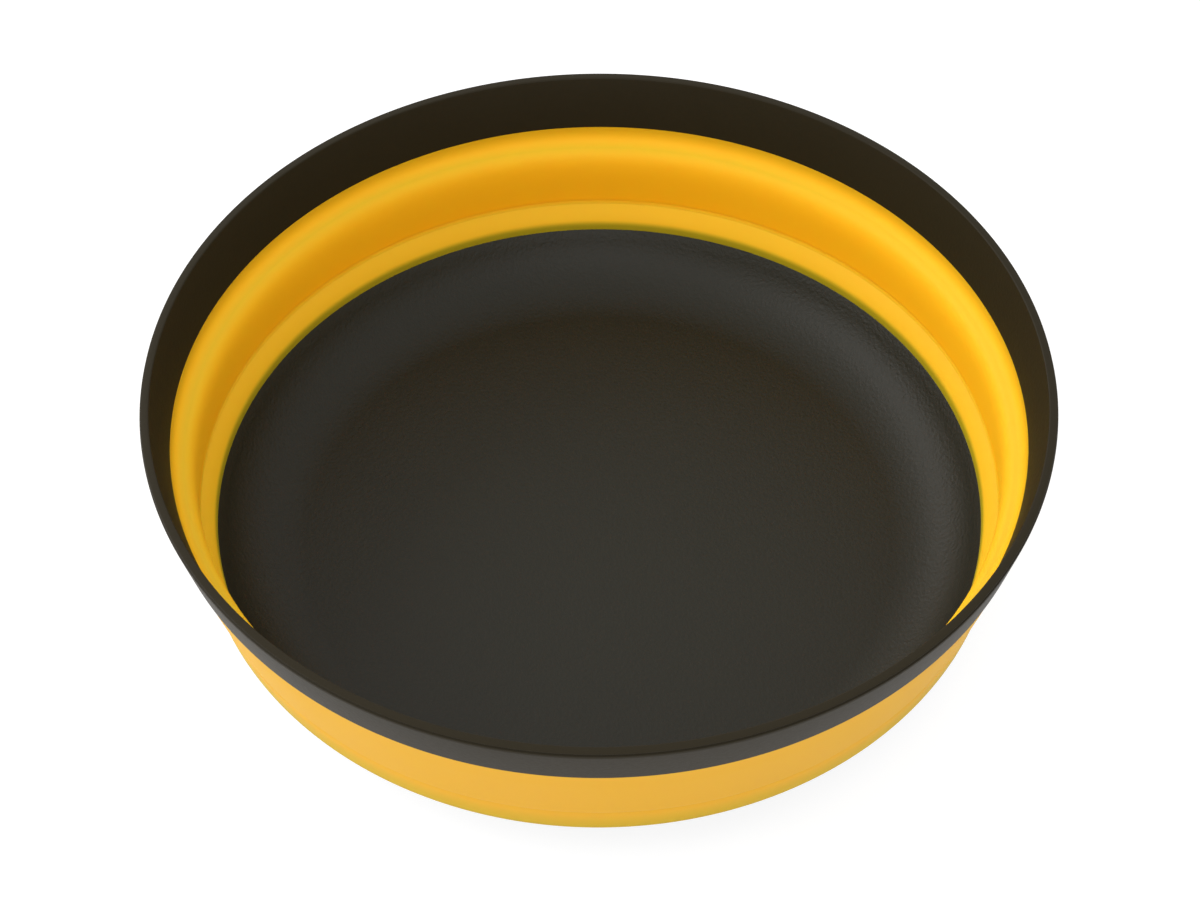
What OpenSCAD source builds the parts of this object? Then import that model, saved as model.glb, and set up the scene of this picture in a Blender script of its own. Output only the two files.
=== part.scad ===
// Collapsible camping bowl. A rigid rim and a rigid base dish are joined by
// one moulded silicone wall. The middle of the wall turns inside out between
// two living hinges, and the rim then drops round the base.
// The bowl stands on the XY plane with its axis on Z. Sizes are millimetres.

/* [Rim] */
// Outside diameter of the rim at its widest
rim_d = 180; // [140:1:240]
// Height of the rim, from its top to the silicone inside
rim_h = 11.8; // [8:0.1:18]
// How far the rim's inner face draws in on its way down
rim_draw = 2.85; // [1:0.05:4]
// Width of the lip, from its inner edge to the rim's widest line
lip_w = 1.8; // [1.6:0.1:3]
// Width of the rim's lower edge
rim_foot_w = 2.5; // [2.3:0.05:4]
// How much lower the rim's lower edge lies inside than outside
rim_step = 1.4; // [0.4:0.1:2]
// Width of the round bead along the inner side of the lip
bead_w = 0.95; // [0.6:0.05:1.15]
// Width of the fine ridge along the outer side of the lip
ridge_w = 0.35; // [0.3:0.05:0.6]
// How far the ridge stands above the bead
ridge_h = 0.1; // [0.05:0.05:0.8]
// Depth of the groove between bead and ridge, below the bead
groove_d = 0.2; // [0.1:0.05:0.3]
// Height of the upright band round the lip, where the rim is widest
edge_band_h = 0.6; // [0.4:0.1:3]

/* [Silicone wall] */
// Height of the upper band, from the fold to the rim's inner edge
upper_band_h = 4; // [3.4:0.1:8]
// How far the upper band's inner face draws in
upper_band_draw = 2.15; // [1:0.05:3]
// Height of the folding wall between its two hinges
fold_h = 14.6; // [10:0.1:22]
// How far the folding wall's inner face draws in
fold_draw = 1.8; // [0.5:0.1:3]
// Height of the lower band, from the base to the lower hinge
lower_band_h = 6; // [5:0.1:10]
// How far the lower band's inner face draws in
lower_band_draw = 2.9; // [1.5:0.1:4]
// Thickness of the wall at the upper hinge
fold_t = 3.1; // [2:0.1:3.4]
// Thickness of the wall at the lower hinge
hinge_t = 0.9; // [0.6:0.05:1.2]
// Thickness of the silicone outside the base's wall
skin_t = 1.3; // [0.8:0.1:1.6]
// How far the silicone stands back from the rim's outer face
rim_inset = 0.25; // [0.15:0.05:0.6]
// Depth of the creases on both sides of the lower hinge
crease_d = 0.2; // [0.1:0.05:0.4]
// Height of each crease, from its middle to its edge
crease_h = 0.8; // [0.4:0.1:1]
// How far the outer crease lies above the inner one
crease_rise = 1.2; // [1:0.1:2]

/* [Base dish] */
// Height of the base's inner edge, where the silicone starts
base_h = 13.6; // [11:0.1:20]
// Thickness of the base's wall and floor
base_wall = 1.8; // [1.6:0.1:2.6]
// Lean of the base's wall from upright, in degrees
base_lean = 31; // [20:1:38]
// Radius of the round corner inside the dish
corner_r = 18.4; // [8:0.2:19]
// Height of the foot ring under the base
foot_h = 0.6; // [0.3:0.1:1.5]
// Width of the foot ring
foot_w = 3; // [2:0.5:6]
// How far the foot ring stands in from the bottom of the corner
foot_inset = 1; // [0.5:0.5:4]

/* [Moulded joints] */
// Thickness of the tongues that the silicone is moulded round
tongue_t = 0.9; // [0.6:0.05:1]
// Height of the rim's tongue below its inner edge
rim_tongue_h = 2.6; // [2:0.1:3]
// Height of the base's tongue above its inner edge
base_tongue_h = 3.2; // [2.4:0.1:3.6]
// Diameter of the holes in the tongues that key the silicone
key_d = 1.3; // [0.8:0.1:1.4]
// Number of holes round each tongue
key_count = 36; // [12:4:60]

/* [Hidden] */
$fn = 180;

dark_plastic = [0.22, 0.21, 0.17];
yellow_silicone = [0.93, 0.68, 0.20];

// Small radii, some as shares of the width that they round, the part of
// the fold's lean that the rim's tongue follows, and the steps of arcs
edge_r = 0.35;
tongue_edge_r = 0.2;
foot_edge_r = 0.25;
bead_r_share = 0.95;
ridge_r_share = 0.4;
groove_r_share = 0.8;
skin_edge_share = 0.7;
rim_lean_share = 0.67;
edge_steps = 4;
corner_steps = 14;
curve_steps = 10;

// How far the curved inner faces have drawn in and come down at their two
// control points, as shares of each band's own draw and height
upper_curve_shares = [[0, 0.75], [0.65, 0.93]];
fold_curve_shares = [[1.6, 0.1], [1.2, 0.45]];
lower_curve_shares = [[0.5, 0.24], [1, 0.58]];

// Levels, from the ground up
z_floor = foot_h + base_wall;
z_low = base_h + lower_band_h;
z_up = z_low + fold_h;
z_rim = z_up + upper_band_h;
z_rim_out = z_rim + rim_step;
z_top = z_rim + rim_h;
z_bead = z_top - ridge_h;
z_outer_crease = z_low + crease_rise;

// Radii of the inner face, from the lip down
rim_r = rim_d / 2;
r_lip = rim_r - lip_w;
r_rim_in = r_lip - rim_draw;
r_up_in = r_rim_in - upper_band_draw;
r_low_in = r_up_in - fold_draw;
r_crease = r_low_in + crease_d;
r_base_in = r_low_in - lower_band_draw;

// Radii of the outer face, from the rim's lower edge down
r_rim_out = r_rim_in + rim_foot_w;
r_band_out = r_rim_out - rim_inset;
r_up_out = r_up_in + fold_t;
r_low_out = r_crease + hinge_t;
r_base_wall = r_base_in + base_wall;
r_skin = r_base_wall + skin_t;

// Where the base's leaning wall would meet its floor and its underside, and
// where the round corner underneath ends
lean_run = tan(base_lean);
r_floor_corner = r_base_in - (base_h - z_floor) * lean_run;
r_under_corner = r_base_wall - (base_h - foot_h) * lean_run;
under_corner_r = corner_r + base_wall;
r_under = r_under_corner - under_corner_r / tan((90 + base_lean) / 2);
r_foot = r_under - foot_inset;

// The tongues run down or up the middle of the silicone
r_rim_tongue = (r_rim_in + r_band_out) / 2;
r_fold_mid = (r_up_in + r_up_out) / 2;
rim_tongue_share = rim_tongue_h / upper_band_h;
rim_tongue_in = (r_rim_tongue - r_fold_mid) * rim_tongue_share * rim_lean_share;
r_low_mid = (r_crease + r_low_out) / 2;
r_base_tongue = r_base_wall - tongue_t / 2;
base_tongue_share = base_tongue_h / lower_band_h;
base_tongue_out = (r_low_mid - r_base_tongue) * base_tongue_share;

// Point at a share t of a cubic curve
function curve_point(p, t) =
    let (s = 1 - t)
    s * s * s * p[0] + 3 * s * s * t * p[1] + 3 * s * t * t * p[2] + t * t * t * p[3];

// Inner face of a band from its upper edge to its lower edge, both left out
function band_curve(top, bottom, shares) =
    let (control = [for (share = shares) [
        top.x + (bottom.x - top.x) * share.x,
        top.y + (bottom.y - top.y) * share.y
    ]])
    [for (i = [1 : curve_steps - 1])
        curve_point([top, control[0], control[1], bottom], i / curve_steps)];

function unit(v) = v / norm(v);

// Points that round the corner p between its neighbours with radius r
function fillet(before, p, after, r, steps) =
    let (
        u = unit(before - p),
        v = unit(after - p),
        half = acos(u * v) / 2,
        centre = p + unit(u + v) * r / sin(half),
        start = p + u * r / tan(half) - centre,
        end = p + v * r / tan(half) - centre,
        from = atan2(start.y, start.x),
        sweep = (atan2(end.y, end.x) - from + 540) % 360 - 180
    )
    [for (i = [0 : steps])
        let (a = from + sweep * i / steps)
        centre + r * [cos(a), sin(a)]];

// Outline through corners [x, y, radius], with each radius drawn as an arc
function outline(corners, steps = edge_steps) =
    let (n = len(corners), at = [for (c = corners) [c.x, c.y]])
    [for (i = [0 : n - 1])
        each corners[i].z == 0
            ? [at[i]]
            : fillet(at[(i + n - 1) % n], at[i], at[(i + 1) % n], corners[i].z, steps)];

// Tongue's four corners: two at its root, and two at its end
rim_tongue_corners = [
    [r_rim_tongue + tongue_t / 2, z_rim_out, 0],
    [r_rim_tongue + tongue_t / 2 - rim_tongue_in, z_rim - rim_tongue_h, tongue_edge_r],
    [r_rim_tongue - tongue_t / 2 - rim_tongue_in, z_rim - rim_tongue_h, tongue_edge_r],
    [r_rim_tongue - tongue_t / 2, z_rim, 0],
];
base_tongue_corners = [
    [r_base_tongue - tongue_t / 2, base_h, 0],
    [r_base_tongue - tongue_t / 2 + base_tongue_out, base_h + base_tongue_h, tongue_edge_r],
    [r_base_tongue + tongue_t / 2 + base_tongue_out, base_h + base_tongue_h, tongue_edge_r],
    [r_base_tongue + tongue_t / 2, base_h, 0],
];

// Ring of round holes through a tongue at the given height
module key_holes(r, z) {
    for (i = [0 : key_count - 1])
        rotate([0, 0, 360 * i / key_count])
            translate([r, 0, z])
                rotate([0, 90, 0])
                    cylinder(d = key_d, h = 2 * fold_t, center = true, $fn = 24);
}

module rim_key_holes() {
    key_holes(r_rim_tongue - rim_tongue_in / 2, z_rim - rim_tongue_h / 2);
}

module base_key_holes() {
    key_holes(r_base_tongue + base_tongue_out / 2, base_h + base_tongue_h / 2);
}

module rim_tongue() {
    difference() {
        rotate_extrude() polygon(outline(rim_tongue_corners));
        rim_key_holes();
    }
}

module base_tongue() {
    difference() {
        rotate_extrude() polygon(outline(base_tongue_corners));
        base_key_holes();
    }
}

// Rigid rim: a round bead, a groove and a fine ridge along the lip, and a
// pierced tongue below, which the silicone is moulded round
module rim_ring() {
    r_ridge = rim_r - ridge_w;
    ridge_r = ridge_w * ridge_r_share;
    color(dark_plastic)
        difference() {
            rotate_extrude()
                polygon(outline(concat(
                    [
                        [r_rim_in, z_rim, 0],
                        [r_lip, z_bead, bead_w * bead_r_share],
                        [r_lip + bead_w, z_bead, groove_d * groove_r_share],
                        [r_ridge, z_bead - groove_d, 0],
                        [r_ridge, z_top, ridge_r],
                        [rim_r, z_top, ridge_r],
                        [rim_r, z_top - edge_band_h, 0],
                        [r_rim_out, z_rim_out, edge_r],
                    ],
                    rim_tongue_corners
                )));
            rim_key_holes();
        }
}

// Silicone band that grips the rim's tongue and fills the holes in it
module upper_wall() {
    color(yellow_silicone)
        difference() {
            rotate_extrude()
                polygon(concat(
                    [[r_rim_in, z_rim]],
                    band_curve([r_rim_in, z_rim], [r_up_in, z_up], upper_curve_shares),
                    [
                        [r_up_in, z_up],
                        [r_up_out, z_up],
                        [r_band_out, z_rim_out],
                        [rim_tongue_corners[0].x, z_rim_out],
                        [rim_tongue_corners[3].x, z_rim],
                    ]
                ));
            rim_tongue();
        }
}

// Folding wall: a pillow-shaped panel that thins to a crease at each side of
// its lower hinge
module folding_wall() {
    outer_slope = (r_up_out - r_low_out) / fold_h;
    r_above_crease = r_low_out + outer_slope * (crease_rise + crease_h);
    r_at_crease = r_low_out + outer_slope * crease_rise - crease_d;
    color(yellow_silicone)
        rotate_extrude()
            polygon(concat(
                [[r_up_in, z_up]],
                band_curve([r_up_in, z_up], [r_low_in, z_low + crease_h], fold_curve_shares),
                [
                    [r_low_in, z_low + crease_h],
                    [r_crease, z_low],
                    [r_low_out, z_low],
                    [r_at_crease, z_outer_crease],
                    [r_above_crease, z_outer_crease + crease_h],
                    [r_up_out, z_up],
                ]
            ));
}

// Silicone band that grips the base's tongue and fills the holes in it
module lower_wall() {
    color(yellow_silicone)
        difference() {
            rotate_extrude()
                polygon(concat(
                    [[r_crease, z_low], [r_low_in, z_low - crease_h]],
                    band_curve([r_low_in, z_low - crease_h], [r_base_in, base_h], lower_curve_shares),
                    [[r_base_in, base_h]],
                    outline([
                        [r_base_wall, base_h, 0],
                        [r_skin, base_h, skin_t * skin_edge_share],
                        [r_low_out, z_low, 0],
                    ])
                ));
            base_tongue();
        }
}

// Rigid base: a dish with a leaning wall, a large round corner, a foot ring
// and a pierced tongue on top
module base_dish() {
    color(dark_plastic)
        difference() {
            rotate_extrude()
                polygon(concat(
                    [[0, z_floor]],
                    fillet(
                        [0, z_floor],
                        [r_floor_corner, z_floor],
                        [r_base_in, base_h],
                        corner_r,
                        corner_steps
                    ),
                    [[r_base_in, base_h]],
                    outline(base_tongue_corners),
                    fillet(
                        [r_base_wall, base_h],
                        [r_under_corner, foot_h],
                        [r_under, foot_h],
                        under_corner_r,
                        corner_steps
                    ),
                    outline([
                        [r_foot, foot_h, 0],
                        [r_foot, 0, foot_edge_r],
                        [r_foot - foot_w, 0, foot_edge_r],
                        [r_foot - foot_w, foot_h, 0],
                    ]),
                    [[0, foot_h]]
                ));
            base_key_holes();
        }
}

rim_ring();
upper_wall();
folding_wall();
lower_wall();
base_dish();
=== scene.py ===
"""Studio scene of a collapsible camping bowl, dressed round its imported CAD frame.

The bowl has three pieces: a rigid rim, a soft silicone wall and a rigid base
dish. Each is turned about Z from a section that follows the CAD solids. All
lengths are metres, in the frame of the CAD model.
"""

import logging
import math
from dataclasses import dataclass, field
from enum import Enum

import bmesh
import bpy
from mathutils import Matrix, Vector


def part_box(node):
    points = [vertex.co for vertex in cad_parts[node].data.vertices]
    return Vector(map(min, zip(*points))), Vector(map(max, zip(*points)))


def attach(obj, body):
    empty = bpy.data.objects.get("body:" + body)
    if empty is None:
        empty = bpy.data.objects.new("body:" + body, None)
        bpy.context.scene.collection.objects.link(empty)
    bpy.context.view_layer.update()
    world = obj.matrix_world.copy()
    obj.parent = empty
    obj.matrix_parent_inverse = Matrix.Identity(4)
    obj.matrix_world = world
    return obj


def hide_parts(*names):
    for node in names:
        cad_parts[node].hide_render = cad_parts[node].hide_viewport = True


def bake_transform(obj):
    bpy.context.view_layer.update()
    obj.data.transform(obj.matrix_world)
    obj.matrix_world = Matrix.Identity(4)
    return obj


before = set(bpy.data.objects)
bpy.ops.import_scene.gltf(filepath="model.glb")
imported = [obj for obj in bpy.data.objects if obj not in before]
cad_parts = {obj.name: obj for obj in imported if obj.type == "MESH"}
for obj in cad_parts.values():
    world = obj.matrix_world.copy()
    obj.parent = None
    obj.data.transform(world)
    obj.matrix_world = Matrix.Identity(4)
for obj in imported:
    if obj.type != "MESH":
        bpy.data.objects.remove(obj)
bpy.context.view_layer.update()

MM = 0.001
SMOOTH_DEG = 35.0
NOISE_ROUGHNESS = 0.55
NOISE_MIDDLE = 0.5

Colour = tuple[float, float, float, float]
Corner = tuple[float, float, float]
Shares = tuple[tuple[float, float], tuple[float, float]]

log = logging.getLogger("bowl")


class Body(Enum):
    """CAD bodies that the pieces ride on."""

    BASE = "base"
    RIM = "rim"


class Node(Enum):
    """CAD nodes, by what they are."""

    RIM_RING = "rim_ring"
    UPPER_WALL = "upper_wall"
    FOLDING_WALL = "folding_wall"
    LOWER_WALL = "lower_wall"
    BASE_DISH = "base_dish"


class Slot(Enum):
    """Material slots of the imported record."""

    DARK_PLASTIC = "dark_plastic"
    YELLOW_SILICONE = "yellow_silicone"


class Tone(Enum):
    """Numbers from 0 to 1 that the silicone keeps on its points."""

    # The dark tongue at the base, and painted shade under the rim and along the outer
    # face's lower edge.
    TONGUE_AND_SHADE = "tongue_and_shade"
    # Painted highlight on the inner crests and on the outer face's lower edge.
    CREST_HIGHLIGHT = "crest"
    # Marks the outer face, which takes a darker copy of the colour: painted light.
    OUTSIDE = "outside"


class Socket:
    """One output of a shader node. Its operators add Math nodes to the tree."""

    def __init__(self, shader: "Shader", output: bpy.types.NodeSocket) -> None:
        """Wraps an output.

        Args:
            shader: The shader that the output belongs to.
            output: The output to wrap.
        """
        self.shader = shader
        self.output = output

    def math(self, operation: str, *others: "Socket | float") -> "Socket":
        """Adds a Math node on this socket and others.

        Args:
            operation: The Math node's operation.
            others: Its further inputs, each a socket or a number.

        Returns:
            The node's output.
        """
        values = dict(enumerate((self, *others)))
        return self.shader.node("ShaderNodeMath", {"operation": operation}, values)

    def __add__(self, other: "Socket | float") -> "Socket":
        """Sum with a socket or number."""
        return self.math("ADD", other)

    __radd__ = __add__

    def __sub__(self, other: "Socket | float") -> "Socket":
        """This socket less a socket or number."""
        return self.math("SUBTRACT", other)

    def __rsub__(self, other: float) -> "Socket":
        """A number less this socket."""
        return (self * -1.0) + other

    def __mul__(self, other: "Socket | float") -> "Socket":
        """Product with a socket or number."""
        return self.math("MULTIPLY", other)

    __rmul__ = __mul__


class Shader:
    """Nodes of one material, or of the world, built in code."""

    def __init__(self, owner: bpy.types.Material | bpy.types.World) -> None:
        """Starts with no nodes.

        Args:
            owner: What the nodes belong to.
        """
        owner.use_nodes = True
        self.tree = owner.node_tree
        self.tree.nodes.clear()

    def add(
        self,
        kind: str,
        settings: dict[str, object] | None = None,
        values: dict[str | int, object] | None = None,
    ) -> bpy.types.Node:
        """Adds one node.

        Args:
            kind: The node's type.
            settings: Properties of the node, set before its inputs.
            values: Inputs by name or number, each a Socket or a plain value.

        Returns:
            The node.
        """
        made = self.tree.nodes.new(kind)
        for key, value in (settings or {}).items():
            setattr(made, key, value)
        for key, value in (values or {}).items():
            if isinstance(value, Socket):
                self.tree.links.new(value.output, made.inputs[key])
            else:
                made.inputs[key].default_value = value
        return made

    def node(
        self,
        kind: str,
        settings: dict[str, object] | None = None,
        values: dict[str | int, object] | None = None,
        output: str | int = 0,
    ) -> Socket:
        """Adds one node and wraps one of its outputs.

        Args:
            kind: The node's type.
            settings: Properties of the node.
            values: Its inputs.
            output: The name or number of the output.

        Returns:
            The chosen output.
        """
        return Socket(self, self.add(kind, settings, values).outputs[output])

    def coordinates(self) -> Socket:
        """Object coordinates of the piece."""
        return self.node("ShaderNodeTexCoord", output="Object")

    def noise(self, grain: float, detail: float = 2.0, seed: float = 0.0) -> Socket:
        """Adds a noise pattern.

        Args:
            grain: Size of its features in metres.
            detail: Number of finer layers.
            seed: Place along the fourth axis, which sets a pattern apart.

        Returns:
            Values round 0.5.
        """
        return self.node(
            "ShaderNodeTexNoise",
            {"noise_dimensions": "4D"},
            {
                "Vector": self.coordinates(),
                "W": seed,
                "Scale": 1.0 / grain,
                "Detail": detail,
                "Roughness": NOISE_ROUGHNESS,
            },
        )

    def attribute(self, tone: Tone) -> Socket:
        """Reads a number stored on the mesh's points."""
        return self.node(
            "ShaderNodeAttribute", {"attribute_name": tone.value}, output="Fac"
        )

    def direct_rays(self) -> Socket:
        """Tells the rays that show the background from those that light pieces.

        Returns:
            1 for camera, glossy and transmission rays, 0 for others.
        """
        camera, glossy, transmission = (
            self.node("ShaderNodeLightPath", output=name)
            for name in ("Is Camera Ray", "Is Glossy Ray", "Is Transmission Ray")
        )
        return camera.math("MAXIMUM", glossy).math("MAXIMUM", transmission)

    def mix(self, factor: Socket, first: object, second: object) -> Socket:
        """Mixes two colours.

        Args:
            factor: Share of the second colour.
            first: Colour at 0, a socket or RGBA numbers.
            second: Colour at 1, a socket or RGBA numbers.

        Returns:
            The mixed colour.
        """
        # The node's sockets share their names, so its colours go by number.
        return self.node(
            "ShaderNodeMix",
            {"data_type": "RGBA", "clamp_factor": True},
            {0: factor, 6: first, 7: second},
            output=2,
        )

    def bump(self, height: Socket, depth: float) -> Socket:
        """Turns a height pattern into a normal.

        Args:
            height: Pattern from 0 to 1.
            depth: Height in metres that 1 stands for.

        Returns:
            The bumped normal.
        """
        return self.node(
            "ShaderNodeBump",
            values={"Strength": 1.0, "Distance": depth, "Height": height},
        )

    def surface(self, closure: Socket, kind: str = "ShaderNodeOutputMaterial") -> None:
        """Connects the surface.

        Args:
            closure: The shader to show.
            kind: Type of the output node.
        """
        self.add(kind, values={"Surface": closure})


@dataclass(frozen=True)
class PlasticFinish:
    """Warm charcoal plastic with the fine grain of a textured mould.

    The grain, the mottle and the cloud are patterns. Each number is the size
    of one pattern's features in metres.
    """

    name: str
    colour: Colour
    pale_colour: Colour
    roughness: float
    specular: float
    grain_depth: float
    roughness_spread: float = 0.10
    grain: float = 0.0008
    mottle: float = 0.0012
    mottle_share: float = 0.5
    cloud: float = 0.018

    def build(self) -> bpy.types.Material:
        """Makes the material.

        Returns:
            The plastic.
        """
        material = bpy.data.materials.new(self.name)
        shader = Shader(material)
        grain = shader.noise(self.grain, detail=3.0, seed=1.0)
        mottle = shader.noise(self.mottle, seed=2.0)
        cloud = shader.noise(self.cloud, detail=3.0, seed=3.0)
        tone = mottle * self.mottle_share + cloud * (1.0 - self.mottle_share)
        roughness = self.roughness + (grain - NOISE_MIDDLE) * self.roughness_spread
        principled = shader.node(
            "ShaderNodeBsdfPrincipled",
            values={
                "Base Color": shader.mix(tone, self.colour, self.pale_colour),
                "Roughness": roughness,
                "Normal": shader.bump(grain, self.grain_depth),
                "Specular IOR Level": self.specular,
            },
        )
        shader.surface(principled)
        return material


RIM_FINISH = PlasticFinish(
    name="matt_plastic",
    colour=(0.0140, 0.0103, 0.0036, 1.0),
    pale_colour=(0.0186, 0.0138, 0.0052, 1.0),
    roughness=0.5,
    specular=0.14,
    grain_depth=0.00004,
)
DISH_FINISH = PlasticFinish(
    name="satin_plastic",
    colour=(0.0078, 0.0074, 0.0024, 1.0),
    pale_colour=(0.0108, 0.0102, 0.0038, 1.0),
    roughness=0.5,
    specular=0.32,
    grain_depth=0.00015,
)


@dataclass(frozen=True)
class SiliconeFinish:
    """Satin yellow silicone that light passes through.

    The inner face is deep in colour and turns pale at a crest, a painted
    highlight. The outer face takes a darker copy of the colour, painted light,
    and turns pale at its edge, a painted highlight. The backed colour is that
    of a thin skin over a dark tongue at the base, and is painted shade under
    the rim and along the outer face's lower edge.
    """

    name: str = "yellow_silicone"
    deep_colour: Colour = (1.0, 0.45, 0.007, 1.0)
    crest_highlight_colour: Colour = (0.72, 0.45, 0.018, 1.0)
    outer_dimmed_colour: Colour = (0.69, 0.36, 0.024, 1.0)
    edge_highlight_colour: Colour = (0.66, 0.41, 0.018, 1.0)
    backed_and_shade_colour: Colour = (0.34, 0.26, 0.008, 1.0)
    roughness: float = 0.55
    roughness_spread: float = 0.08
    specular: float = 0.1
    grain: float = 0.00035
    grain_depth: float = 0.000006
    cloud: float = 0.022
    cloud_share: float = 0.12
    through_colour: tuple[float, float, float] = (1.0, 0.7, 0.4)
    through_share: float = 0.5
    through_depth: float = 0.0008

    def build(self) -> bpy.types.Material:
        """Makes the material.

        Returns:
            The silicone.
        """
        material = bpy.data.materials.new(self.name)
        shader = Shader(material)
        grain = shader.noise(self.grain, seed=5.0)
        cloud = shader.noise(self.cloud, seed=6.0) - NOISE_MIDDLE
        # Painted highlight: the crest tone makes the inner face paler where light falls
        # on the crests.
        crest = shader.attribute(Tone.CREST_HIGHLIGHT) + cloud * self.cloud_share
        inner = shader.mix(crest, self.deep_colour, self.crest_highlight_colour)
        # Painted highlight: the outer face turns pale towards its lower edge, where
        # floor light falls.
        outer = shader.mix(crest, self.outer_dimmed_colour, self.edge_highlight_colour)
        # Painted light: the outer face takes a darker copy of the colour than the inner
        # face, to match how differently the two are lit.
        body = shader.mix(shader.attribute(Tone.OUTSIDE), inner, outer)
        # The backed colour is the dark tongue showing at the base, and painted shade
        # under the rim and along the outer face's lower edge.
        backed = shader.attribute(Tone.TONGUE_AND_SHADE)
        principled = shader.node(
            "ShaderNodeBsdfPrincipled",
            values={
                "Base Color": shader.mix(backed, body, self.backed_and_shade_colour),
                "Roughness": self.roughness + cloud * self.roughness_spread,
                "Normal": shader.bump(grain, self.grain_depth),
                "Specular IOR Level": self.specular,
                "Subsurface Weight": self.through_share,
                "Subsurface Radius": self.through_colour,
                "Subsurface Scale": self.through_depth,
            },
        )
        shader.surface(principled)
        return material


def smoothstep(low: float, high: float, value: float) -> float:
    """Smooth step from 0 at low to 1 at high.

    Args:
        low: Value at which the step starts.
        high: Value at which it ends, which may lie below low.
        value: The value to place.

    Returns:
        The step's height, from 0 to 1.
    """
    t = min(max((value - low) / (high - low), 0.0), 1.0)
    return t * t * (3.0 - 2.0 * t)


def fillet(
    before: Vector, corner: Vector, after: Vector, radius: float, steps: int
) -> list[Vector]:
    """Rounds one corner of an outline.

    Args:
        before: The corner's neighbour on one side.
        corner: The corner.
        after: Its neighbour on the other side.
        radius: The arc's radius.
        steps: Number of straight steps along the arc.

    Returns:
        Points along the arc.
    """
    u = (before - corner).normalized()
    v = (after - corner).normalized()
    half = u.angle(v) / 2
    centre = corner + (u + v).normalized() * (radius / math.sin(half))
    start = corner + u * (radius / math.tan(half)) - centre
    end = corner + v * (radius / math.tan(half)) - centre
    first = math.atan2(start.y, start.x)
    sweep = math.atan2(end.y, end.x) - first
    sweep = (sweep + math.pi) % math.tau - math.pi
    return [
        centre + Vector((math.cos(a), math.sin(a))) * radius
        for a in (first + sweep * i / steps for i in range(steps + 1))
    ]


def rounded(corners: list[Corner], steps: int) -> list[Vector]:
    """Outline through corners with their arcs drawn.

    Args:
        corners: (radius, height, arc radius) of each corner. An arc radius of
            0 leaves the corner sharp.
        steps: Number of steps along each arc.

    Returns:
        The outline's points.
    """
    at = [Vector(c[:2]) for c in corners]
    points: list[Vector] = []
    for i, (r, z, arc) in enumerate(corners):
        after = at[(i + 1) % len(at)]
        points += fillet(at[i - 1], at[i], after, arc, steps) if arc else [at[i]]
    return points


def band_curve(
    top: Vector, bottom: Vector, shares: Shares, steps: int
) -> list[Vector]:
    """Curved inner face of a silicone band, its two ends included.

    Args:
        top: Upper end.
        bottom: Lower end.
        shares: The two control points, as shares of the way in and down.
        steps: Number of straight steps.

    Returns:
        Points from the upper end to the lower end.
    """
    way = bottom - top
    p = [top, *(top + Vector((way.x * a, way.y * b)) for a, b in shares), bottom]
    points = []
    for i in range(steps + 1):
        t = i / steps
        s = 1.0 - t
        weights = (s**3, 3 * s * s * t, 3 * s * t * t, t**3)
        points.append(sum((w * q for w, q in zip(weights, p)), Vector((0.0, 0.0))))
    return points


def divided(start: Vector, end: Vector, steps: int) -> list[Vector]:
    """Points along a straight line, its end left out.

    Args:
        start: First point.
        end: Where the line ends.
        steps: Number of steps.

    Returns:
        The points.
    """
    return [start.lerp(end, i / steps) for i in range(steps)]


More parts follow.
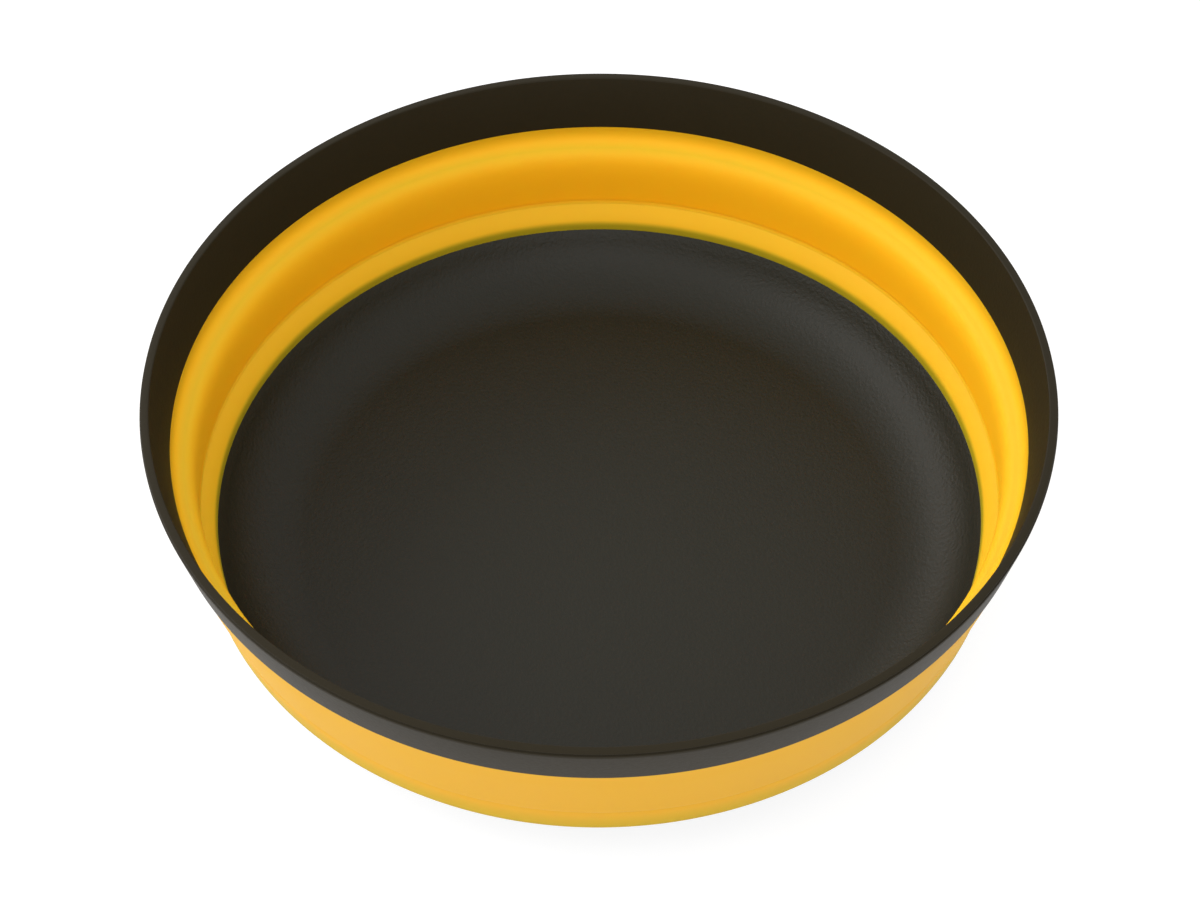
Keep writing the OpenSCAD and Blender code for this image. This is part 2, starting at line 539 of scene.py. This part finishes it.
@dataclass
class BowlSizes:
    """Sizes of the bowl. Heights come from the CAD nodes.

    A draw is how far a part of the inner face leans in from its top to its
    bottom.
    """

    rim_r: float = 90.0 * MM
    lip_w: float = 1.8 * MM
    rim_draw: float = 2.85 * MM
    rim_foot_w: float = 2.5 * MM
    upper_band_draw: float = 2.15 * MM
    fold_draw: float = 1.8 * MM
    lower_band_draw: float = 2.9 * MM
    fold_t: float = 3.1 * MM
    hinge_t: float = 0.9 * MM
    skin_t: float = 1.12 * MM
    rim_inset: float = 0.25 * MM
    crease_d: float = 0.2 * MM
    crease_h: float = 0.8 * MM
    crease_rise: float = 1.2 * MM
    base_wall: float = 1.8 * MM
    tongue_t: float = 0.9 * MM
    tongue_r: float = 0.2 * MM
    tongue_steps: int = 4
    rim_tongue_h: float = 2.6 * MM
    rim_lean_share: float = 0.67
    base_tongue_h: float = 3.2 * MM
    base_h: float = field(init=False)
    z_low: float = field(init=False)
    z_up: float = field(init=False)
    z_rim: float = field(init=False)
    z_rim_out: float = field(init=False)
    z_top: float = field(init=False)

    def __post_init__(self) -> None:
        """Reads the heights from the CAD nodes' boxes."""
        self.base_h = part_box(Node.LOWER_WALL.value)[0].z
        self.z_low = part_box(Node.FOLDING_WALL.value)[0].z
        self.z_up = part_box(Node.FOLDING_WALL.value)[1].z
        self.z_rim_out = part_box(Node.UPPER_WALL.value)[1].z
        self.z_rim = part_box(Node.RIM_RING.value)[0].z + self.rim_tongue_h
        self.z_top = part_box(Node.RIM_RING.value)[1].z

    @property
    def r_lip(self) -> float:
        """Radius of the lip's inner edge."""
        return self.rim_r - self.lip_w

    @property
    def r_rim_in(self) -> float:
        """Radius of the rim's lower edge inside."""
        return self.r_lip - self.rim_draw

    @property
    def r_rim_out(self) -> float:
        """Radius of the rim's lower edge outside."""
        return self.r_rim_in + self.rim_foot_w

    @property
    def r_band_out(self) -> float:
        """Outer radius of the silicone below the rim."""
        return self.r_rim_out - self.rim_inset

    @property
    def r_up_in(self) -> float:
        """Inner radius at the upper hinge."""
        return self.r_rim_in - self.upper_band_draw

    @property
    def r_up_out(self) -> float:
        """Outer radius at the upper hinge."""
        return self.r_up_in + self.fold_t

    @property
    def r_low_in(self) -> float:
        """Inner radius beside the lower hinge."""
        return self.r_up_in - self.fold_draw

    @property
    def r_crease(self) -> float:
        """Radius of the inner crease."""
        return self.r_low_in + self.crease_d

    @property
    def r_low_out(self) -> float:
        """Outer radius at the lower hinge."""
        return self.r_crease + self.hinge_t

    @property
    def r_base_in(self) -> float:
        """Radius of the base's inner edge."""
        return self.r_low_in - self.lower_band_draw

    @property
    def r_base_wall(self) -> float:
        """Radius of the base's wall outside, below the silicone."""
        return self.r_base_in + self.base_wall

    @property
    def rim_tongue(self) -> list[Corner]:
        """The tongue below the rim, which the silicone grips.

        Returns:
            Its outer root, outer end, inner end and inner root.
        """
        middle = (self.r_rim_in + self.r_band_out) / 2
        share = self.rim_tongue_h / (self.z_rim - self.z_up) * self.rim_lean_share
        end = middle - (middle - (self.r_up_in + self.r_up_out) / 2) * share
        half = self.tongue_t / 2
        low = self.z_rim - self.rim_tongue_h
        return [
            (middle + half, self.z_rim_out, 0.0),
            (end + half, low, self.tongue_r),
            (end - half, low, self.tongue_r),
            (middle - half, self.z_rim, 0.0),
        ]

    @property
    def base_tongue(self) -> list[Corner]:
        """The tongue above the base, which the silicone grips.

        Returns:
            Its inner root, inner end, outer end and outer root.
        """
        middle = self.r_base_wall - self.tongue_t / 2
        share = self.base_tongue_h / (self.z_low - self.base_h)
        end = middle + ((self.r_crease + self.r_low_out) / 2 - middle) * share
        half = self.tongue_t / 2
        high = self.base_h + self.base_tongue_h
        return [
            (middle - half, self.base_h, 0.0),
            (end - half, high, self.tongue_r),
            (end + half, high, self.tongue_r),
            (middle + half, self.base_h, 0.0),
        ]


@dataclass(frozen=True)
class Lathe:
    """Turns sections about Z with the edit-mode spin operator."""

    turns: int = 288
    weld: float = 0.001 * MM

    def turn(self, name: str, section: list[Vector], closed: bool) -> bpy.types.Object:
        """Turns a section into a piece.

        Args:
            name: The piece's name.
            section: (radius, height) points in order.
            closed: Whether the last point joins the first. An open section
                starts and ends on the axis.

        Returns:
            The piece, at the origin, with its normals outwards.
        """
        bpy.ops.object.select_all(action="DESELECT")
        bpy.ops.mesh.primitive_plane_add(size=MM, location=(0.0, 0.0, 0.0))
        piece = bpy.context.active_object
        piece.name = name
        piece.data.name = name
        bpy.ops.object.mode_set(mode="EDIT")
        bpy.ops.mesh.select_mode(type="VERT")
        bpy.ops.mesh.merge(type="CENTER")
        bpy.ops.transform.translate(value=(section[0].x, 0.0, section[0].y))
        for here, there in zip(section, section[1:]):
            step = there - here
            bpy.ops.mesh.extrude_vertices_move(
                TRANSFORM_OT_translate={"value": (step.x, 0.0, step.y)}
            )
        if closed:
            self._join_ends(piece)
        bpy.ops.mesh.select_all(action="SELECT")
        bpy.ops.mesh.spin(
            steps=self.turns, angle=math.tau, center=(0, 0, 0), axis=(0, 0, 1)
        )
        bpy.ops.mesh.select_all(action="SELECT")
        bpy.ops.mesh.remove_doubles(threshold=self.weld)
        bpy.ops.mesh.normals_make_consistent(inside=False)
        bpy.ops.object.mode_set(mode="OBJECT")
        return piece

    @staticmethod
    def _join_ends(piece: bpy.types.Object) -> None:
        """Joins the first and last points of a profile in edit mode.

        Args:
            piece: The profile's object.
        """
        mesh = bmesh.from_edit_mesh(piece.data)
        bpy.ops.mesh.select_all(action="DESELECT")
        for vert in mesh.verts:
            vert.select = len(vert.link_edges) == 1
        mesh.select_flush_mode()
        bmesh.update_edit_mesh(piece.data)
        bpy.ops.mesh.edge_face_add()


def finish_piece(
    piece: bpy.types.Object, material: bpy.types.Material
) -> None:
    """Smooths a piece and gives it its material.

    Args:
        piece: The piece.
        material: Its material.
    """
    bpy.ops.object.select_all(action="DESELECT")
    piece.select_set(True)
    bpy.context.view_layer.objects.active = piece
    bpy.ops.object.shade_smooth_by_angle(angle=math.radians(SMOOTH_DEG))
    piece.data.materials.clear()
    piece.data.materials.append(material)
    log.info("%s: %d faces", piece.name, len(piece.data.polygons))


@dataclass
class RimRing:
    """Rigid rim: a flat lip over a notch and a leaning wall."""

    sizes: BowlSizes
    lip_fall: float = 0.03 * MM
    lip_inset: float = 0.02 * MM
    lip_inner_r: float = 0.35 * MM
    lip_outer_r: float = 0.15 * MM
    notch_h: float = 0.7 * MM
    notch_share: float = 0.25
    notch_d: float = 0.4 * MM
    notch_r: float = 0.08 * MM
    edge_band_h: float = 0.5 * MM
    edge_band_r: float = 1.5 * MM
    edge_r: float = 0.35 * MM
    inner_edge_r: float = 0.15 * MM
    arc_steps: int = 7

    def section(self) -> list[Vector]:
        """Draws the rim's section.

        Returns:
            Points from its inner lower edge up and round.
        """
        s = self.sizes
        r_corner = s.rim_r - self.lip_inset
        z_corner = s.z_top - self.lip_fall
        z_face = z_corner - self.notch_h
        z_notch = z_face + self.notch_h * self.notch_share
        return rounded(
            [
                (s.r_rim_in, s.z_rim, self.inner_edge_r),
                (s.r_lip, s.z_top, self.lip_inner_r),
                (r_corner, z_corner, self.lip_outer_r),
                (r_corner - self.notch_d, z_notch, self.notch_r),
                (s.rim_r, z_face, self.notch_r),
                (s.rim_r, z_face - self.edge_band_h, self.edge_band_r),
                (s.r_rim_out, s.z_rim_out, self.edge_r),
                *s.rim_tongue,
            ],
            self.arc_steps,
        )

    def build(self, lathe: Lathe, material: bpy.types.Material) -> None:
        """Turns and dresses the rim.

        Args:
            lathe: Turns the section.
            material: The rim's material.
        """
        piece = lathe.turn("rim", self.section(), closed=True)
        finish_piece(piece, material)
        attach(piece, Body.RIM.value)
        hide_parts(Node.RIM_RING.value)


@dataclass
class SiliconeWall:
    """One soft moulding from the rim to the base, with two living hinges.

    The shares place the two control points of each curve of the inner face.
    A rise, a fade, a show or a shade is the height over which a tone
    changes. Near the rim the tones are painted shade, at the skirt painted
    shade and painted highlight, and at the crests painted highlight.
    """

    sizes: BowlSizes
    upper_shares: Shares = ((0.0, 0.75), (0.65, 0.93))
    fold_shares: Shares = ((1.6, 0.1), (1.2, 0.45))
    lower_shares: Shares = ((0.5, 0.24), (1.0, 0.58))
    crease_r: float = 0.3 * MM
    skin_edge_r: float = 0.91 * MM
    hinge_edge_r: float = 2.0 * MM
    edge_show_h: float = 2.4 * MM
    edge_full_share: float = 0.45
    rim_shade: float = 0.5
    rim_shade_h: float = 3.4 * MM
    skirt_shade_h: float = 1.3 * MM
    skirt_highlight_h: float = 4.0 * MM
    crest_rise: float = 1.9 * MM
    crest_fade: float = 2.4 * MM
    lower_rise: float = 0.8 * MM
    lower_fade: float = 1.2 * MM
    lower_peak: float = 1.0
    lower_tone: float = 0.75
    fold_steps: int = 48
    lower_steps: int = 16
    upper_steps: int = 12
    band_steps: int = 8
    crease_steps: int = 4
    edge_steps: int = 6

    def inner_face(self) -> list[Vector]:
        """Draws the inner face.

        Returns:
            Points from the rim down to the base.
        """
        s = self.sizes
        rim = Vector((s.r_rim_in, s.z_rim))
        hinge = Vector((s.r_up_in, s.z_up))
        above = Vector((s.r_low_in, s.z_low + s.crease_h))
        crease = Vector((s.r_crease, s.z_low))
        below = Vector((s.r_low_in, s.z_low - s.crease_h))
        base = Vector((s.r_base_in, s.base_h))
        upper = band_curve(rim, hinge, self.upper_shares, self.upper_steps)
        fold = band_curve(hinge, above, self.fold_shares, self.fold_steps)
        lower = band_curve(below, base, self.lower_shares, self.lower_steps)
        return [
            *upper[:-1],
            *fold[:-1],
            *fillet(fold[-2], above, crease, self.crease_r, self.crease_steps),
            *fillet(above, crease, below, self.crease_r, self.crease_steps),
            *fillet(crease, below, lower[1], self.crease_r, self.crease_steps),
            *lower[1:],
        ]

    def outer_face(self) -> list[Vector]:
        """Draws the outer face.

        Returns:
            Points from the base up to the rim.
        """
        s = self.sizes
        slope = (s.r_up_out - s.r_low_out) / (s.z_up - s.z_low)

        def at(rise: float, inset: float) -> tuple[float, float]:
            """Point of the folding wall's outer face above the lower hinge."""
            return (s.r_low_out + slope * rise - inset, s.z_low + rise)

        skin = s.r_base_wall + s.skin_t
        lower = rounded(
            [
                (s.r_base_wall, s.base_h, 0.0),
                (skin, s.base_h, self.skin_edge_r),
                (s.r_low_out, s.z_low, self.hinge_edge_r),
                (*at(s.crease_rise, s.crease_d), self.crease_r),
                (*at(s.crease_rise + s.crease_h, 0.0), self.crease_r),
                (s.r_up_out, s.z_up, 0.0),
            ],
            self.edge_steps,
        )
        fold_start = lower[-2]
        hinge = lower[-1]
        top = Vector((s.r_band_out, s.z_rim_out))
        return [
            *lower[:-2],
            *divided(fold_start, hinge, self.fold_steps),
            *divided(hinge, top, self.band_steps),
            top,
        ]

    def section(self) -> list[Vector]:
        """Draws the wall's section, round the rim's and the base's tongues.

        Returns:
            Points from the rim down the inner face and up the outer face.
        """
        s = self.sizes
        base_tongue = rounded(s.base_tongue, s.tongue_steps)
        rim_tongue = rounded(s.rim_tongue, s.tongue_steps)
        return [
            *self.inner_face(),
            *base_tongue[:-1],
            *self.outer_face(),
            *rim_tongue,
        ]

    def mark_tones(self, piece: bpy.types.Object) -> None:
        """Stores where the silicone's tone changes.

        The dark tongue shows through the inner skin at the base, and painted
        shade darkens the inner skin under the rim and the outer skin along its
        lower edge. Painted highlights make the inner skin palest at the upper
        bend and below the lower one, and the outer skin pale at its lower edge.
        The outer face is marked for its darker copy of the colour, painted light.

        Args:
            piece: The turned wall.
        """
        # Each point's numbers stand in the order of Tone.
        tones = []
        for vert in piece.data.vertices:
            z = vert.co.z
            if vert.normal.dot(vert.co.to_2d().to_3d()) < 0.0:
                tones.append((self.tongue_and_rim_shade(z), self.crest_highlight_share(z), 0.0))
            else:
                above = z - self.sizes.base_h
                # Painted shade along the outer skin's lower edge.
                show = smoothstep(self.skirt_shade_h, 0.0, above)
                # Painted highlight: the outer skin turns pale towards its lower edge.
                pale = smoothstep(self.skirt_highlight_h, 0.0, above)
                tones.append((show, pale, 1.0))
        for tone, values in zip(Tone, zip(*tones)):
            layer = piece.data.attributes.new(tone.value, "FLOAT", "POINT")
            layer.data.foreach_set("value", values)

    def tongue_and_rim_shade(self, z: float) -> float:
        """How far a dark tongue shows through the inner skin at the base, and how much
        painted shade falls under the rim.

        Args:
            z: Height on the wall.

        Returns:
            Share from 0 to 1.
        """
        s = self.sizes
        base_rise = (z - s.base_h) / self.edge_show_h
        base_share = smoothstep(1.0, self.edge_full_share, base_rise)
        # Painted shade that darkens the inner skin under the rim.
        rim_shade_share = smoothstep(1.0, 0.0, (s.z_rim - z) / self.rim_shade_h)
        return max(base_share, rim_shade_share * self.rim_shade)

    def crest_highlight_share(self, z: float) -> float:
        """Share of the painted highlight on the inner skin, at the upper bend and below
        the lower one.

        Args:
            z: Height on the wall.

        Returns:
            Share of the crest's paler colour, a painted highlight, from 0 to 1.
        """
        s = self.sizes
        reach = self.crest_rise if z > s.z_up else self.crest_fade
        crest = math.exp(-abs(z - s.z_up) / reach)
        start = smoothstep(s.z_low + self.lower_rise, s.z_low - self.lower_rise, z)
        fall = math.exp(-max(s.z_low - z, 0.0) / self.lower_fade)
        lower = self.lower_tone + (self.lower_peak - self.lower_tone) * fall
        return max(crest, start * lower)

    def build(self, lathe: Lathe, material: bpy.types.Material) -> None:
        """Turns and dresses the wall, and hides the CAD nodes that it stands for.

        Args:
            lathe: Turns the section.
            material: The silicone.
        """
        piece = lathe.turn("silicone_wall", self.section(), closed=True)
        self.mark_tones(piece)
        finish_piece(piece, material)
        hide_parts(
            Node.UPPER_WALL.value,
            Node.FOLDING_WALL.value,
            Node.LOWER_WALL.value,
        )
        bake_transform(piece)


@dataclass
class BaseDish:
    """Rigid dish with a leaning wall, a round corner and a foot ring."""

    sizes: BowlSizes
    lean_deg: float = 31.0
    corner_r: float = 18.4 * MM
    foot_h: float = 0.6 * MM
    foot_w: float = 3.0 * MM
    foot_inset: float = 1.0 * MM
    foot_edge_r: float = 0.25 * MM
    edge_r: float = 0.15 * MM
    floor_rings: int = 14
    corner_steps: int = 28
    under_steps: int = 24
    edge_steps: int = 3
    foot_steps: int = 4

    def section(self) -> list[Vector]:
        """Draws the dish's section.

        Returns:
            Points from the middle of the floor, over the edge, to the middle
            of the underside.
        """
        s = self.sizes
        run = math.tan(math.radians(self.lean_deg))
        floor = self.foot_h + s.base_wall
        corner = Vector((s.r_base_in - (s.base_h - floor) * run, floor))
        under = Vector((s.r_base_wall - (s.base_h - self.foot_h) * run, self.foot_h))
        under_r = self.corner_r + s.base_wall
        half = math.radians(90.0 + self.lean_deg) / 2
        foot_r = under.x - under_r / math.tan(half) - self.foot_inset
        top = Vector((s.r_base_in, s.base_h))
        outside = Vector((s.r_base_wall, s.base_h))
        axis = Vector((0.0, floor))
        below = Vector((0.0, self.foot_h))
        inner_corner = fillet(axis, corner, top, self.corner_r, self.corner_steps)
        tongue = rounded(s.base_tongue, s.tongue_steps)
        foot = rounded(
            [
                (foot_r, self.foot_h, 0.0),
                (foot_r, 0.0, self.foot_edge_r),
                (foot_r - self.foot_w, 0.0, self.foot_edge_r),
                (foot_r - self.foot_w, self.foot_h, 0.0),
            ],
            self.foot_steps,
        )
        return [
            *divided(axis, inner_corner[0], self.floor_rings),
            *inner_corner,
            *fillet(inner_corner[-1], top, tongue[0], self.edge_r, self.edge_steps),
            *tongue,
            *fillet(outside, under, below, under_r, self.under_steps),
            *foot,
            below,
        ]

    def build(self, lathe: Lathe, material: bpy.types.Material) -> None:
        """Turns and dresses the dish.

        Args:
            lathe: Turns the section.
            material: The dish's material.
        """
        piece = lathe.turn("base", self.section(), closed=False)
        finish_piece(piece, material)
        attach(piece, Body.BASE.value)
        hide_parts(Node.BASE_DISH.value)


@dataclass(frozen=True)
class Camera:
    """The photograph's camera, fitted to the circles of the bowl's edges."""

    focal_px: float = 2800.0
    frame_px: float = 1200.0
    sensor_mm: float = 36.0
    distance_shares: float = 6.1266
    elevation_deg: float = 47.52
    pitch_deg: float = 48.98
    roll_deg: float = -0.25
    shift_px: float = 0.917
    lip_drop: float = 0.4 * MM
    clip_start: float = 0.01

    def build(self, sizes: BowlSizes) -> None:
        """Places the camera.

        Args:
            sizes: The bowl's sizes, which set the distance.
        """
        distance = self.distance_shares * sizes.rim_r
        elevation = math.radians(self.elevation_deg)
        pitch = math.radians(self.pitch_deg)
        roll = math.radians(self.roll_deg)
        ahead = Vector((0.0, math.cos(pitch), -math.sin(pitch)))
        level = Vector((1.0, 0.0, 0.0))
        upright = level.cross(ahead)
        right = level * math.cos(roll) + upright * math.sin(roll)
        up = upright * math.cos(roll) - level * math.sin(roll)
        bpy.ops.object.camera_add(
            location=(
                self.shift_px / self.focal_px * distance,
                -distance * math.cos(elevation),
                sizes.z_top - self.lip_drop + distance * math.sin(elevation),
            )
        )
        camera = bpy.context.active_object
        camera.name = "camera"
        camera.rotation_euler = Matrix((right, up, -ahead)).transposed().to_euler()
        camera.data.sensor_width = self.sensor_mm
        camera.data.lens = self.focal_px / self.frame_px * self.sensor_mm
        camera.data.clip_start = self.clip_start
        bpy.context.scene.camera = camera


@dataclass(frozen=True)
class Lamp:
    """A wide soft box that faces the bowl."""

    name: str
    azimuth_deg: float
    elevation_deg: float
    watts: float
    height: float = 0.5
    width: float = 0.8
    distance: float = 1.2

    def build(self, target: Vector) -> None:
        """Places the soft box.

        Args:
            target: The point that it faces.
        """
        a = math.radians(self.azimuth_deg)
        e = math.radians(self.elevation_deg)
        level = Vector((math.sin(a), -math.cos(a), 0.0))
        way = level * math.cos(e) + Vector((0.0, 0.0, math.sin(e)))
        bpy.ops.object.light_add(type="AREA", location=target + way * self.distance)
        lamp = bpy.context.active_object
        lamp.name = self.name
        lamp.rotation_euler = way.to_track_quat("Z", "Y").to_euler()
        lamp.data.shape = "RECTANGLE"
        lamp.data.size = self.width
        lamp.data.size_y = self.height
        lamp.data.energy = self.watts


@dataclass(frozen=True)
class Studio:
    """Pale floor, soft light and white surroundings."""

    lamps: tuple[Lamp, ...] = (
        Lamp("key_left", azimuth_deg=-84.0, elevation_deg=34.0, watts=4.7),
        Lamp("key_back", azimuth_deg=-128.0, elevation_deg=28.0, watts=4.8),
        Lamp("soft_front", azimuth_deg=0.0, elevation_deg=30.0, watts=3.3, height=0.8),
    )
    ambient: float = 1.14
    white: Colour = (1.0, 1.0, 1.0, 1.0)
    floor_colour: Colour = (0.65, 0.65, 0.65, 1.0)
    shade_colour: Colour = (0.3, 0.3, 0.3, 1.0)
    floor_glow: float = 0.78
    floor_size: float = 6.0

    def build(self, target: Vector) -> None:
        """Makes the studio.

        Args:
            target: The point that the lamps face.
        """
        for lamp in self.lamps:
            lamp.build(target)
        self._world()
        self._floor()
        bpy.context.scene.view_settings.view_transform = "Standard"

    def _world(self) -> None:
        """White to look at, and a plain grey light otherwise."""
        world = bpy.data.worlds.new("studio")
        bpy.context.scene.world = world
        shader = Shader(world)
        seen = shader.direct_rays()
        light, backdrop = (
            shader.node(
                "ShaderNodeBackground",
                values={"Color": self.white, "Strength": strength},
            )
            for strength in (self.ambient, 1.0)
        )
        shown = shader.node(
            "ShaderNodeMixShader", values={0: seen, 1: light, 2: backdrop}
        )
        shader.surface(shown, "ShaderNodeOutputWorld")

    def _floor(self) -> None:
        """A pale floor that looks white and keeps the shadow."""
        bpy.ops.object.select_all(action="DESELECT")
        bpy.ops.mesh.primitive_plane_add(size=self.floor_size, location=(0.0, 0.0, 0.0))
        floor = bpy.context.active_object
        floor.name = "floor"
        material = bpy.data.materials.new("studio_floor")
        shader = Shader(material)
        seen = shader.direct_rays()
        diffuse = shader.node(
            "ShaderNodeBsdfDiffuse", values={"Color": self.floor_colour}
        )
        shade = shader.node(
            "ShaderNodeBsdfDiffuse", values={"Color": self.shade_colour}
        )
        glow = shader.node("ShaderNodeEmission", values={"Strength": self.floor_glow})
        lit = shader.node("ShaderNodeAddShader", values={0: shade, 1: glow})
        shown = shader.node("ShaderNodeMixShader", values={0: seen, 1: diffuse, 2: lit})
        shader.surface(shown)
        floor.data.materials.append(material)


def main() -> None:
    """Builds the bowl and its studio."""
    logging.basicConfig(level=logging.INFO, format="%(name)s: %(message)s")
    sizes = BowlSizes()
    lathe = Lathe()
    BaseDish(sizes).build(lathe, DISH_FINISH.build())
    SiliconeWall(sizes).build(lathe, SiliconeFinish().build())
    RimRing(sizes).build(lathe, RIM_FINISH.build())
    Camera().build(sizes)
    Studio().build(Vector((0.0, 0.0, sizes.z_low)))


if __name__ == "__main__":
    main()
